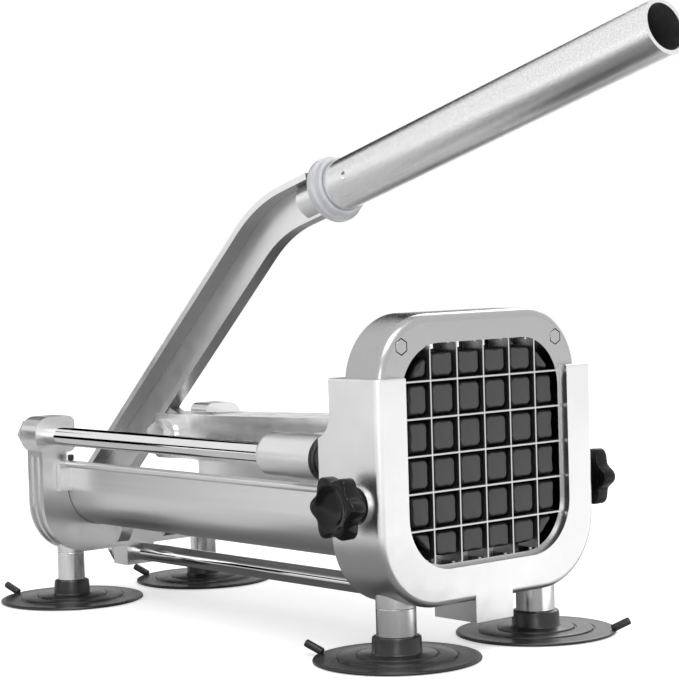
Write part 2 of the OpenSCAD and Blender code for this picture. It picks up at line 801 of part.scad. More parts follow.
// Side view of the saddle that the link's front pin rests in
module saddle_outline() {
    translate([cross_y, saddle_bottom]) square([saddle_rear - cross_y - pin_r, saddle_top - saddle_bottom]);
    translate([cross_y, saddle_bottom + pin_r]) square([saddle_rear - cross_y, saddle_top - saddle_bottom - pin_r]);
    translate([saddle_rear - pin_r, saddle_bottom + pin_r]) circle(pin_r);
}

// Room for the pin to lift out of the saddle while the lever is part way
module slot_outline() {
    pin = [front_pin_y, front_pin_z];
    wide = pin_r + slot_gap;
    strap(pin, wide, pin + [0, slot_rise], wide + slot_gap);
    strap(pin, wide, pin + [-slot_lean, slot_rise], wide + slot_gap);
}

module block_screw_at(x, z) {
    reach = face_half - block_screw_inset;
    translate([x * reach, 0, grid_z + z * reach]) children();
}

module sleeve_bushings() color("white") in_place()
    for (s = [-1, 1], end = [0, 1]) translate([s * sleeve_x, sleeve_y + end * (sleeve_len - bush_len), rod_z])
        difference() {
            bar_y(rod_r + running_gap + bush_wall, 0, bush_len);
            bar_y(rod_r + running_gap, -cut, bush_len + 2 * cut);
        }

// Comb of post sections with chamfered tips, seen from the side
module post_comb() {
    half = (cell_pitch - blade_t) / 2 - post_gap;
    for (k = [0 : cells - 1]) translate([(k + 0.5 - cells / 2) * cell_pitch, 0]) polygon([
        [-half, post_len + block_base_t], [-half, post_chamfer], [-half + post_chamfer, 0],
        [half - post_chamfer, 0], [half, post_chamfer], [half, post_len + block_base_t]
    ]);
}

module push_block() color([0.15, 0.15, 0.15]) in_place() translate([0, block_front, grid_z]) difference() {
    union() {
        intersection() {
            translate([0, 0, -opening_half]) linear_extrude(opening) post_comb();
            translate([-opening_half, 0, 0]) rotate([0, 90, 0]) linear_extrude(opening) post_comb();
            along_y(-cut, post_len + block_base_t + cut) rounded(2 * post_half, 2 * post_half, post_r);
        }
        along_y(post_len, block_base_t)
            rounded(2 * (block_half - tooth_h), 2 * (block_half - tooth_h), block_r - tooth_h);
        intersection() {
            along_y(post_len, block_base_t / 2) translate([0, tooth_rise / 2])
                rounded(2 * block_half, 2 * block_half + tooth_rise, block_r);
            for (k = [0 : cells - 1]) for (turned = [0, 90]) rotate([0, turned, 0])
                translate([(k + 0.5 - cells / 2) * cell_pitch - tooth_w / 2, post_len, -opening_half])
                    cube([tooth_w, block_base_t, opening]);
        }
    }
    translate([0, -block_front, -grid_z]) for (x = [-1, 1], z = [-1, 1]) block_screw_at(x, z)
        bar_y(block_screw_d / 2, block_base_y + block_base_t / 4, block_base_t);
}

module block_screws() color("silver") in_place() for (x = [-1, 1], z = [-1, 1]) block_screw_at(x, z) {
    bar_y(block_screw_d / 2, block_base_y + block_base_t / 4, block_base_t * 3 / 4 + face_t);
    bar_y(block_screw_head / 2, block_rear + face_t, block_screw_head_t);
}

// A bar of the lever: straight from the pivot, round the bend, and on towards the handle.
// It lies off the middle line by the given amount, positive towards the upper rear side.
module arm_bar(off, thick, width, start, run_out) {
    low = bend_r + off - thick / 2;
    high = low + thick;
    across_x(width) polygon(concat(
        [bend_point(high, arm_angle, arm_len - start)], bend_points(high), [bend_point(high, handle_angle, -run_out)],
        [bend_point(low, handle_angle, -run_out)], [for (k = [bend_steps : -1 : 0]) bend_points(low)[k]],
        [bend_point(low, arm_angle, arm_len - start)]
    ));
}

// Point beside the bend: out from its middle square to the given slope, then along that slope
function bend_point(radius, slope, along) = [
    bend_y + radius * sin(slope) + along * cos(slope), bend_z + radius * cos(slope) - along * sin(slope)
];

// Points round the bend, from the arm to the handle
function bend_points(radius) =
    [for (k = [0 : bend_steps]) bend_point(radius, arm_angle - turn * k / bend_steps, 0)];

// Middle of the bend, below and in front of the arm
bend_y = pivot_y - arm_len * cos(arm_angle) - bend_r * sin(arm_angle);
bend_z = pivot_z + arm_len * sin(arm_angle) - bend_r * cos(arm_angle);

module lever_arm() color("silver") in_place() difference() {
    union() {
        arm_bar(0, arm_depth, web_t, 0, arm_end - bend_run);
        arm_bar((arm_depth - rear_flange_t) / 2, rear_flange_t, arm_w, eye_r, arm_end - bend_run - cut);
        arm_bar(-(arm_depth - front_lip_t) / 2, front_lip_t, front_lip_w, eye_r, arm_end - bend_run - cut);
        translate([0, pivot_y, pivot_z]) bar_x(eye_r, 0, eye_w);
        across_x(web_t) link_lug_outline();
        translate([0, link_pin_y, link_pin_z]) bar_x(lug_boss_r, 0, lug_t);
        handle_axis() translate([0, 0, tube_start - neck_run]) cylinder(r = neck_share * arm_depth, h = neck_run);
        handle_axis() translate([0, 0, arm_end + cut])
            cylinder(r = tube_r - tube_wall - spigot_gap, h = tube_start + spigot_len - arm_end - cut);
    }
    translate([0, pivot_y, pivot_z]) bar_x(pivot_bolt_d / 2 + running_gap + pivot_bush_wall, 0, 2 * eye_w);
    translate([0, link_pin_y, link_pin_z]) bar_x(pin_r + running_gap, 0, 2 * lug_t);
    handle_axis() translate([0, 0, tube_start + spigot_len / 2]) bar_x(handle_pin_d / 2, 0, 2 * tube_d);
}

// Lug on the front of the arm that carries the link's rear pin
module link_lug_outline() {
    pin = [link_pin_y, link_pin_z];
    root = pin + lug_r * lug_lean_shares;
    strap(pin, lug_r, root, lug_r);
}

// Puts +Z along the handle, starting at the corner of the lever
module handle_axis() {
    translate([0, corner_y, corner_z]) rotate([90 - handle_angle, 0, 0]) children();
}

module pivot_bushing() color("tan") in_place() translate([0, pivot_y, pivot_z]) difference() {
    bar_x(pivot_bolt_d / 2 + running_gap + pivot_bush_wall, 0, eye_w);
    bar_x(pivot_bolt_d / 2 + running_gap, 0, 2 * eye_w);
}

module handle_tube() color("silver") in_place() handle_axis() difference() {
    translate([0, 0, tube_start]) cylinder(r = tube_r, h = tube_len);
    translate([0, 0, tube_start - cut]) cylinder(r = tube_r - tube_wall, h = tube_len + 2 * cut);
    translate([0, 0, tube_start + spigot_len / 2]) bar_x(handle_pin_d / 2, 0, 2 * tube_d);
}

module handle_collar() color([0.85, 0.87, 0.9]) in_place() handle_axis() difference() {
    union() {
        translate([0, 0, tube_start - collar_t]) cylinder(d = collar_d, h = collar_t);
        translate([0, 0, tube_start - seat_gap]) cylinder(d = collar_d * collar_hub_share, h = collar_hub_t);
    }
    translate([0, 0, tube_start]) cylinder(r = tube_r, h = collar_hub_t + cut);
    translate([0, 0, tube_start - collar_t - cut]) cylinder(r = tube_r - tube_wall, h = collar_t + 2 * cut);
}

module handle_pin() color("silver") in_place() handle_axis() translate([0, 0, tube_start + spigot_len / 2])
    bar_x(handle_pin_d / 2, 0, tube_d - tube_wall);

// Puts the link's own plan in place: its front pin at the origin, its length along +Y
module link_place() {
    translate([0, front_pin_y, front_pin_z]) rotate([link_tilt, 0, 0]) children();
}

// Plan of the link: wide along its body, drawn in at the lever
module link_plan(over) {
    body = link_w / 2 - over;
    tail = link_tail_w / 2 - over;
    tail_y = link_len - link_tail;
    polygon([
        [-body, -link_r - cut], [-body, tail_y - link_taper], [-tail, tail_y], [-tail, link_len + link_h],
        [tail, link_len + link_h], [tail, tail_y], [body, tail_y - link_taper], [body, -link_r - cut]
    ]);
}

// Side view of the link: round at the front pin, squared off with round corners at the lever
module link_side() {
    circle(link_r);
    translate([0, -link_r]) square([link_len + link_end - link_corner, link_h]);
    translate([link_len, -link_r + link_corner]) square([link_end, link_h - 2 * link_corner]);
    for (s = [-1, 1]) translate([link_len + link_end - link_corner, s * (link_r - link_corner)])
        circle(link_corner);
}

module link() color("silver") in_place() link_place() difference() {
    intersection() {
        across_x(link_w) link_side();
        translate([0, 0, -link_h]) linear_extrude(2 * link_h) link_plan(0);
    }
    difference() {
        translate([0, 0, -link_h]) linear_extrude(2 * link_h) link_plan(link_t);
        translate([-link_w / 2, link_top_start, link_r - link_top_t])
            cube([link_w, link_len - link_top_start - link_top_end, link_top_t]);
    }
    bar_x(pin_r, 0, 2 * link_w);
    translate([0, link_len, 0]) bar_x(pin_r, 0, 2 * link_w);
}

module link_bolt() color("silver") in_place() translate([0, link_pin_y, link_pin_z]) {
    face = link_tail_w / 2;
    bar_x(pin_r, nut_t / 2, link_tail_w + nut_t + bolt_washer_t);
    bar_x(bolt_washer_d / 2, -face - bolt_washer_t / 2, bolt_washer_t);
    hex_x(bolt_af, -face - bolt_washer_t, bolt_t, -1);
}

module link_nut() color("silver") in_place() translate([0, link_pin_y, link_pin_z]) difference() {
    union() {
        bar_x(bolt_washer_d / 2, link_tail_w / 2 + bolt_washer_t / 2, bolt_washer_t);
        hex_x(bolt_af, link_tail_w / 2 + bolt_washer_t, nut_t - bolt_washer_t, 1);
    }
    bar_x(pin_r, 0, 4 * link_w);
}

module link_front_pin() color("silver") in_place() link_place() bar_x(pin_r, 0, link_w);

// Star knob face outline: lobes round a disc, with hollows between them
module star() {
    lobe_r = lobe_share * knob_r;
    ring_r = knob_r - lobe_r;
    difference() {
        circle(ring_r);
        for (k = [0 : lobes - 1]) rotate(360 / lobes * (k + 0.5))
            translate([hollow_share * ring_r, 0]) circle(lobe_r);
    }
    for (k = [0 : lobes - 1]) rotate(360 / lobes * k) translate([ring_r, 0]) circle(lobe_r);
}

// Everything at the knob axis; the side is -1 on the left and 1 on the right
module at_knob(side) {
    translate([0, knob_y, knob_z]) mirror([side < 0 ? 1 : 0, 0, 0]) children();
}

module pad(side) color("white") in_place() at_knob(side)
    bar_x(stem_r, frame_half + pad_gap + pad_t / 2, pad_t);

module stem(side) color("silver") in_place() at_knob(side) {
    start = frame_half + pad_gap + pad_t;
    length = knob_face_x - knob_t / 2 - start;
    bar_x(stem_r, start + length / 2, length);
}

module knob(side) color([0.08, 0.08, 0.08]) in_place() at_knob(side) difference() {
    union() {
        translate([knob_face_x - knob_t, 0, 0]) rotate([0, 90, 0]) linear_extrude(knob_t) star();
        bar_x(hub_r_share * knob_r, knob_face_x - knob_t - hub_len / 2, hub_len);
    }
    bar_x(dish_share * knob_r, knob_face_x, 2 * dish_depth);
    bar_x(stem_r, 0, 2 * (knob_face_x - knob_t / 2));
}

module left_pad() pad(-1);
module left_stem() stem(-1);
module left_knob() knob(-1);
module right_pad() pad(1);
module right_stem() stem(1);
module right_knob() knob(1);

front_housing();
blade_frame();
vertical_blades();
horizontal_blades();
blade_pins();
frame_screws();
rear_bracket();
trough();
upper_rods();
lower_rod();
rod_nuts();
rod_rings();
rim_pads();
front_legs();
rear_legs();
leg_screws();
suction_cups();
pivot_bolt();
pivot_nut();
carriage();
sleeve_bushings();
push_block();
block_screws();
lever_arm();
pivot_bushing();
handle_tube();
handle_collar();
handle_pin();
link();
link_bolt();
link_nut();
link_front_pin();
left_pad();
left_stem();
left_knob();
right_pad();
right_stem();
right_knob();
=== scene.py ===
"""French fry cutter, dressed for a studio picture: cast housing, blade grid, lever and cups."""
import json
import math

import bmesh
import bpy
from mathutils import Matrix, Vector


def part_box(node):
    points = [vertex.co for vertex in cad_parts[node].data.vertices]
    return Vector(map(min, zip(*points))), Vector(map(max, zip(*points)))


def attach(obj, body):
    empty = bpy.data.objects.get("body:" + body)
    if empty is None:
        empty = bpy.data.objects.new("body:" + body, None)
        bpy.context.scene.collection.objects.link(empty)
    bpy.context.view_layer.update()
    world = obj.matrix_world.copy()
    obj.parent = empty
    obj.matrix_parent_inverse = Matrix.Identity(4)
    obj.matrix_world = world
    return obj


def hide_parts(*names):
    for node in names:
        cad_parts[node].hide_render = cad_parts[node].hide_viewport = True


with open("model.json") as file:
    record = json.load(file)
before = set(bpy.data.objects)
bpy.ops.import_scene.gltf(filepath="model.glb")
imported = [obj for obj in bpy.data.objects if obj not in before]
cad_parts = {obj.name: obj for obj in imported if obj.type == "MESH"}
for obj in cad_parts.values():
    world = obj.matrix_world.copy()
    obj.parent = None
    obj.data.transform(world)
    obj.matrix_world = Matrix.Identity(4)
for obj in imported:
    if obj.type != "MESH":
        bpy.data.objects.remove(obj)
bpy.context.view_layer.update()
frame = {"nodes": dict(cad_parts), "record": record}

MM = 0.001
# The middle of the blade grid above the bench, in mm, and the seat of the blade frame, in metres
GRID_Z = 70.2
SEAT_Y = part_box("blade_frame")[0].y
BODIES = frame["record"]["behaviour"]["bodies"]
BODY_OF = {node: body for body, nodes in BODIES.items() for node in nodes}
SLOT_OF = {part["node"]: part["material_slot"] for part in frame["record"]["subparts"]}

# The merged copies join vertices closer than this, and flat faces that meet under this angle
WELD = 0.000002
FLAT_ANGLE = math.radians(0.4)
SHORTEST_EDGE = 0.000005
# Edges that meet at more than this stay sharp, and take a bevel
SHARP_ANGLE = math.radians(34)
# Pieces whose wide faces are split in triangles, so that their shading comes out clean
THREE_SIDED = {
    "lever_arm", "vertical_blades", "horizontal_blades", "rod_nuts", "pivot_bolt", "pivot_nut",
    "link_bolt", "link_nut",
}


def at(x, y, z):
    """A point in millimetres, with y counted from the seat of the blade frame."""
    return Vector((x * MM, SEAT_Y + y * MM, z * MM))


# ---------------------------------------------------------------- finishes

# How deep the grain of each kind of surface is
BLASTED_GRAIN = 0.00008
MOULDED_GRAIN = 0.00004
RUBBER_GRAIN = 0.00002
DRAWN_LINES = 0.00002
FROSTED_SPECKS = 0.00012
COLLAR_RIPPLE = 0.00005


class Finish:
    """A Principled material whose pattern is read from the piece's own coordinates."""

    def __init__(self, name, colour, metallic, roughness, **sockets):
        self.material = bpy.data.materials.new(name)
        self.material.use_nodes = True
        self.tree = self.material.node_tree
        self.shader = self.tree.nodes["Principled BSDF"]
        self.shader.inputs["Base Color"].default_value = (*colour, 1)
        self.shader.inputs["Metallic"].default_value = metallic
        self.shader.inputs["Roughness"].default_value = roughness
        for socket, value in sockets.items():
            self.shader.inputs[socket.replace("_", " ")].default_value = value
        self.coordinates = self.tree.nodes.new("ShaderNodeTexCoord")

    def noise(self, scale, detail=2.0, stretch=(1, 1, 1), crumble=0.5):
        """Clouds or grain, drawn out along an axis where its stretch is small."""
        mapping = self.tree.nodes.new("ShaderNodeMapping")
        mapping.inputs["Scale"].default_value = stretch
        self.tree.links.new(self.coordinates.outputs["Object"], mapping.inputs["Vector"])
        noise = self.tree.nodes.new("ShaderNodeTexNoise")
        noise.inputs["Scale"].default_value = scale
        noise.inputs["Detail"].default_value = detail
        noise.inputs["Roughness"].default_value = crumble
        self.tree.links.new(mapping.outputs["Vector"], noise.inputs["Vector"])
        return noise.outputs["Fac"]

    def part_of(self, source, axis):
        """One axis of Object, in metres, or of Normal, as the way the face looks."""
        parts = self.tree.nodes.new("ShaderNodeSeparateXYZ")
        self.tree.links.new(self.coordinates.outputs[source], parts.inputs["Vector"])
        return parts.outputs[axis]

    def reckon(self, operation, first, second=0.0):
        """A sum on sockets or plain numbers."""
        node = self.tree.nodes.new("ShaderNodeMath")
        node.operation = operation
        for socket, value in zip(node.inputs, (first, second)):
            if isinstance(value, float):
                socket.default_value = value
            else:
                self.tree.links.new(value, socket)
        return node.outputs["Value"]

    def spread(self, value, low, high, start, stop):
        """Stretches the range from start to stop over the range from low to high."""
        ramp = self.tree.nodes.new("ShaderNodeMapRange")
        ramp.inputs["From Min"].default_value = start
        ramp.inputs["From Max"].default_value = stop
        ramp.inputs["To Min"].default_value = low
        ramp.inputs["To Max"].default_value = high
        self.tree.links.new(value, ramp.inputs["Value"])
        return ramp.outputs["Result"]

    def tones(self, value, dark, light, start=0.3, stop=0.7):
        """Colour from dark to light as the value goes from start to stop."""
        mix = self.tree.nodes.new("ShaderNodeMix")
        mix.data_type = "RGBA"
        mix.inputs["A"].default_value = (*dark, 1)
        mix.inputs["B"].default_value = (*light, 1)
        self.tree.links.new(self.spread(value, 0, 1, start, stop), mix.inputs["Factor"])
        self.tree.links.new(mix.outputs["Result"], self.shader.inputs["Base Color"])

    def rough(self, value, low, high, start=0.3, stop=0.7):
        """Roughness from low to high as the value goes from start to stop."""
        spread = self.spread(value, low, high, start, stop)
        self.tree.links.new(spread, self.shader.inputs["Roughness"])

    def bump(self, value, strength, depth):
        node = self.tree.nodes.new("ShaderNodeBump")
        node.inputs["Strength"].default_value = strength
        node.inputs["Distance"].default_value = depth
        self.tree.links.new(value, node.inputs["Height"])
        self.tree.links.new(node.outputs["Normal"], self.shader.inputs["Normal"])

    def blasted(self, low, high, grain):
        """The surface of a blasted casting: cloudy roughness and fine grain."""
        self.rough(self.noise(160, 3), low, high)
        self.bump(self.noise(1500, 4, crumble=0.7), grain, BLASTED_GRAIN)


def grey(value, warm=0.0):
    return (value * (1 + warm), value, value * (1 - warm))


def cast_aluminium(name, level, rough, grain):
    """Satin casting: blasted grain, and faint clouds where the blasting was uneven."""
    finish = Finish(name, grey(level), 1.0, rough)
    finish.tones(finish.noise(38, 3), grey(level * 0.955), grey(level * 1.02))
    finish.blasted(rough - 0.035, rough + 0.04, grain)
    return finish.material


def lever_casting_painted_shade():
    """The lever: painted shade on a blasted casting, light on the flat sides that point along X and
    darker on the faces between them.
    """
    finish = Finish("lever_casting_painted_shade", grey(0.6), 1.0, 0.3)
    # Painted shade: a face is painted lighter the more it points along X and darker between, with a
    # little grain in the tone
    sideways = finish.reckon("ABSOLUTE", finish.part_of("Normal", "X"))
    cloud = finish.reckon("MULTIPLY", finish.noise(900, 4, crumble=0.7), 0.2)
    finish.tones(finish.reckon("ADD", sideways, cloud), grey(0.33), grey(0.88), 0.2, 1.1)
    finish.blasted(0.28, 0.36, 0.6)
    return finish.material


# Painted shade: the blade frame's opening is painted dark up to this far from its middle, in
# metres, for the shade on its inner walls.
# What stands within the front depth behind the seat counts as further out, so that the front face
# stays bright.
OPENING_SHADE_EDGE = (0.0381, 0.0384)
FRONT_DEPTH = 0.3 * MM
FRONT_LIFT = 0.02


def cassette_aluminium_painted_shade():
    """The blade frame: satin outside, with painted shade that makes it dark inside the opening."""
    finish = Finish("satin_frame_painted_shade", grey(0.5), 1.0, 0.33)
    # Painted shade: the further a point lies out from the middle of the opening, the lighter it is
    # painted
    across = finish.reckon("ABSOLUTE", finish.part_of("Object", "X"))
    height = finish.reckon("SUBTRACT", finish.part_of("Object", "Z"), GRID_Z * MM)
    out = finish.reckon("MAXIMUM", across, finish.reckon("ABSOLUTE", height))
    front = finish.reckon("LESS_THAN", finish.part_of("Object", "Y"), SEAT_Y + FRONT_DEPTH)
    out = finish.reckon("ADD", out, finish.reckon("MULTIPLY", front, FRONT_LIFT))
    cloud = finish.reckon("MULTIPLY", finish.noise(38, 3), 0.0002)
    finish.tones(finish.reckon("ADD", out, cloud), grey(0.04), grey(0.44), *OPENING_SHADE_EDGE)
    finish.blasted(0.22, 0.28, 0.28)
    return finish.material


# Where the grey faces of the posts end and the painted shade that makes their chamfers and sides
# black begins, from the seat, in metres
POST_SHADE_FROM, POST_SHADE_TO = -0.00014, 0.00004


def post_plastic_painted_shade():
    """Posts: grey faces, with painted shade that makes their chamfers and sides black."""
    finish = Finish("post_plastic_painted_shade", grey(0.03), 0.0, 0.42, Specular_IOR_Level=0.3)
    # Painted shade: what lies further behind the seat is painted darker, and a noise makes the edge
    # of the shade ragged
    shade_edge_wobble = finish.reckon("MULTIPLY", finish.noise(900, 3), 0.00006)
    depth = finish.reckon("ADD", finish.part_of("Object", "Y"), shade_edge_wobble)
    finish.tones(depth, grey(0.062), grey(0.0035), SEAT_Y + POST_SHADE_FROM, SEAT_Y + POST_SHADE_TO)
    finish.rough(finish.noise(800, 3), 0.38, 0.47)
    finish.bump(finish.noise(1800, 3), 0.08, MOULDED_GRAIN)
    return finish.material


def drawn_steel(name, level, rough, along, scale=700, strength=0.25):
    """Metal with fine lines that run along one axis."""
    stretch = [1.0, 1.0, 1.0]
    stretch["xyz".index(along)] = 0.02
    finish = Finish(name, grey(level), 1.0, rough)
    lines = finish.noise(scale, 3, stretch=stretch, crumble=0.6)
    finish.tones(lines, grey(level * 0.965), grey(level * 1.02))
    finish.rough(lines, rough - 0.012, rough + 0.015)
    finish.bump(lines, strength, DRAWN_LINES)
    return finish.material


def frosted_tube():
    """Galvanised handle tube: bright and dark specks on a satin ground."""
    finish = Finish("frosted_tube", grey(0.8), 1.0, 0.3)
    specks = finish.noise(2100, 5, crumble=0.75)
    finish.tones(specks, grey(0.68), grey(0.98), 0.36, 0.66)
    finish.rough(finish.noise(900, 3), 0.17, 0.26)
    finish.bump(specks, 0.5, FROSTED_SPECKS)
    return finish.material


def chromed_rod():
    finish = Finish("chromed_rod", grey(0.78), 1.0, 0.06)
    finish.rough(finish.noise(220, 2), 0.045, 0.09)
    finish.tones(finish.noise(60, 2), grey(0.75), grey(0.8))
    return finish.material


def zinc_plate():
    finish = Finish("zinc_plate", grey(0.72), 1.0, 0.16)
    finish.tones(finish.noise(300, 3), grey(0.68), grey(0.75, 0.01))
    finish.rough(finish.noise(400, 2), 0.13, 0.19)
    return finish.material


def rubber(name, level, rough, grain=0.12):
    finish = Finish(name, grey(level), 0.0, rough)
    finish.tones(finish.noise(220, 3), grey(level * 0.9), grey(level * 1.15))
    finish.rough(finish.noise(500, 3), rough - 0.03, rough + 0.04)
    finish.bump(finish.noise(2600, 3), grain, RUBBER_GRAIN)
    return finish.material


def moulded_black(name, level, rough):
    finish = Finish(name, grey(level), 0.0, rough, Specular_IOR_Level=0.22)
    finish.tones(finish.noise(120, 2), grey(level * 0.85), grey(level * 1.15))
    finish.rough(finish.noise(800, 3), rough - 0.04, rough + 0.05)
    finish.bump(finish.noise(1800, 3), 0.08, MOULDED_GRAIN)
    return finish.material


def milky_collar():
    finish = Finish("milky_collar", (0.85, 0.86, 0.89), 0.0, 0.25, Transmission_Weight=0.5, IOR=1.4)
    finish.tones(finish.noise(180, 3), (0.8, 0.81, 0.85), (0.88, 0.89, 0.92))
    finish.bump(finish.noise(700, 2), 0.06, COLLAR_RIPPLE)
    return finish.material


def nylon():
    finish = Finish("nylon", (0.8, 0.79, 0.75), 0.0, 0.45)
    finish.tones(finish.noise(300, 2), (0.74, 0.73, 0.69), (0.84, 0.83, 0.79))
    return finish.material


FINISHES = {
    "cast_aluminium": cast_aluminium("satin_casting", 0.78, 0.32, grain=0.4),
    "frame_aluminium": cassette_aluminium_painted_shade(),
    "lever_aluminium": lever_casting_painted_shade(),
    "link_aluminium": cast_aluminium("bright_link", 0.9, 0.2, grain=0.04),
    "leg_aluminium": drawn_steel("turned_leg", 0.88, 0.22, "z", scale=900, strength=0.06),
    "blade_steel": drawn_steel("blade_steel", 0.56, 0.3, "x", scale=900),
    "pin_steel": drawn_steel("pin_steel", 0.66, 0.3, "y"),
    "trough_steel": drawn_steel("trough_sheet", 0.84, 0.36, "y", scale=420, strength=0.01),
    "rod_chrome": chromed_rod(),
    "zinc_steel": zinc_plate(),
    "tube_steel": frosted_tube(),
    "clear_collar": milky_collar(),
    "black_rubber": rubber("black_ring_rubber", 0.02, 0.42),
    "cup_rubber": rubber("cup_rubber", 0.018, 0.3, grain=0.06),
    "black_plastic": post_plastic_painted_shade(),
    "knob_plastic": moulded_black("knob_plastic", 0.004, 0.12),
    "nylon": nylon(),
}
# The frame's screws sit flush in it and are ground with it, so they look like it
LOOKS_LIKE = {"frame_screws": "frame_aluminium"}

# ---------------------------------------------------------------- shaping


def finished(name, shape, node, edge=0.0, segments=2):
    """Turns a bmesh into the piece that stands for a node, with its edges rounded in mm."""
    mesh = bpy.data.meshes.new(name)
    shape.to_mesh(mesh)
    shape.free()
    mesh.shade_smooth()
    mesh.set_sharp_from_angle(angle=SHARP_ANGLE)
    mesh.materials.append(FINISHES[LOOKS_LIKE.get(node, SLOT_OF[node])])
    piece = bpy.data.objects.new(name, mesh)
    bpy.context.scene.collection.objects.link(piece)
    if edge:
        rounding = piece.modifiers.new("rounded_edges", "BEVEL")
        rounding.width = edge * MM
        rounding.segments = segments
        rounding.limit_method = "ANGLE"
        rounding.angle_limit = SHARP_ANGLE
        levelling = piece.modifiers.new("level_shading", "WEIGHTED_NORMAL")
        levelling.keep_sharp = True
        levelling.weight = 80
    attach(piece, BODY_OF[node])
    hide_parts(node)


def welded(node):
    """A merged copy of a CAD node's mesh, with its flat faces joined up."""
    shape = bmesh.new()
    shape.from_mesh(frame["nodes"][node].data)
    bmesh.ops.remove_doubles(shape, verts=shape.verts, dist=WELD)
    bmesh.ops.dissolve_limit(shape, angle_limit=FLAT_ANGLE, verts=shape.verts, edges=shape.edges)
    bmesh.ops.dissolve_degenerate(shape, edges=shape.edges, dist=SHORTEST_EDGE)
    if node in THREE_SIDED:
        wide = [face for face in shape.faces if len(face.verts) > 4]
        bmesh.ops.triangulate(shape, faces=wide, quad_method="BEAUTY", ngon_method="BEAUTY")
    return shape


def middle_of(item):
    """The middle of a point, an edge or a face, to a ten-thousandth of a millimetre."""
    corners = [item] if isinstance(item, bmesh.types.BMVert) else item.verts
    middle = sum((vert.co for vert in corners), Vector()) / len(corners)
    return tuple(round(value, 7) for value in middle)


def put_in_order(shape):
    """Orders points, edges and faces by place.

    A spin leaves its edges and faces in an order that changes from one run to the next.
    """
    for items in (shape.verts, shape.edges, shape.faces):
        order = {item: rank for rank, item in enumerate(sorted(items, key=middle_of))}
        items.sort(key=order.get)
        items.index_update()


def turned(profile, steps):
    """A profile of radii and heights in millimetres, spun about Z."""
    shape = bmesh.new()
    ring = [shape.verts.new((r * MM, 0, z * MM)) for r, z in profile]
    edges = [shape.edges.new(pair) for pair in zip(ring, ring[1:])]
    bmesh.ops.spin(shape, geom=ring + edges, cent=(0, 0, 0), axis=(0, 0, 1), angle=2 * math.pi,
                   steps=steps, use_merge=True)
    bmesh.ops.remove_doubles(shape, verts=shape.verts, dist=WELD)
    bmesh.ops.recalc_face_normals(shape, faces=shape.faces)
    put_in_order(shape)
    return shape


def grown(rings):
    """Closed rings of points, bridged one after the other and capped at both ends."""
    shape = bmesh.new()
    loops = []
    for ring in rings:
        row = [shape.verts.new(point) for point in ring]
        loops.append([shape.edges.new(pair) for pair in zip(row, row[1:] + row[:1])])
    for lower, upper in zip(loops, loops[1:]):
        bmesh.ops.bridge_loops(shape, edges=lower + upper)
    for loop in (loops[0], loops[-1]):
        bmesh.ops.edgenet_fill(shape, edges=loop)
    bmesh.ops.recalc_face_normals(shape, faces=shape.faces)
    return shape


def put(part, whole, *moves):
    """Moves a part by each matrix in turn and adds it to the whole."""
    for matrix in moves:
        part.transform(matrix)
    carrier = bpy.data.meshes.new("carrier")
    part.to_mesh(carrier)
    part.free()
    whole.from_mesh(carrier)
    bpy.data.meshes.remove(carrier)


def turn(degrees, axis):
    return Matrix.Rotation(math.radians(degrees), 4, axis)


def move(x, y, z):
    return Matrix.Translation(at(x, y, z))


# ---------------------------------------------------------------- suction cups

# Each profile is a list of radii and heights in millimetres: the hollow underneath, then the rim
# and the two ring steps, then the collar
CUP_HOLLOW = [(0, 1.3), (12.0, 1.1), (22.0, 0.75), (27.0, 0.3), (28.0, 0.0)]
CUP_TOP = [
    (28.6, 0.0), (29.1, 0.2), (29.2, 0.6), (29.0, 1.0), (28.4, 1.15), (27.6, 1.1),
    (21.7, 1.4), (21.5, 1.1), (20.9, 1.1), (20.7, 1.75), (20.3, 1.85),
    (14.9, 1.95), (14.7, 1.65), (14.1, 1.65), (13.9, 2.3), (13.5, 2.4),
    (9.4, 2.5),
]
COLLARS = {
    "front": [(9.0, 2.7), (8.7, 3.2), (8.6, 7.4), (8.45, 8.1), (8.0, 8.4), (0.0, 8.4)],
    "rear": [(7.9, 2.7), (7.4, 3.3), (7.1, 7.4), (6.95, 8.1), (6.5, 8.4), (0.0, 8.4)],
}
CUP_STEPS = 96
# Each foot: its x and y in mm, its kind of collar, and the way its pull tab points, in degrees
FEET = [
    (-34.2, 10.0, "front", 117), (34.2, 10.0, "front", -52),
    (-34.2, 209.1, "rear", 110), (34.2, 209.1, "rear", 116),
]
# The pull tab: a pin with rounded ends that leans out from near the rim
TAB_RADIUS, TAB_LENGTH, TAB_ROUND, TAB_STEPS = 1.4, 7.2, 0.5, 28
TAB_LEAN = 64
TAB_REACH, TAB_HEIGHT = 27.6, 1.35


def pull_tab():
    corner = [(math.sin(a), 1 - math.cos(a)) for a in map(math.radians, (0, 30, 60, 90))]
    lower = [(TAB_RADIUS - TAB_ROUND + TAB_ROUND * x, TAB_ROUND * y) for x, y in corner]
    upper = [(r, TAB_LENGTH - z) for r, z in reversed(lower)]
    return turned([(0, 0), *lower, *upper, (0, TAB_LENGTH)], TAB_STEPS)


def make_cups():
    whole = bmesh.new()
    out_to_rim = Matrix.Translation((TAB_REACH * MM, 0, TAB_HEIGHT * MM))
    for x, y, end, heading in FEET:
        foot = move(x, y, 0)
        put(turned([*CUP_HOLLOW, *CUP_TOP, *COLLARS[end]], CUP_STEPS), whole, foot)
        put(pull_tab(), whole, turn(TAB_LEAN, "Y"), out_to_rim, turn(heading, "Z"), foot)
    finished("suction_cups_moulded", whole, "suction_cups")


# ---------------------------------------------------------------- front housing

# Roundings on top of the two uprights, in mm: the inner front corners, and the rim round them
TOP_CORNER, TOP_RIM = 1.8, 0.8
HOUSING_EDGE = 0.3
# Places this close together, in metres, count as the same
SAME = 0.05 * MM
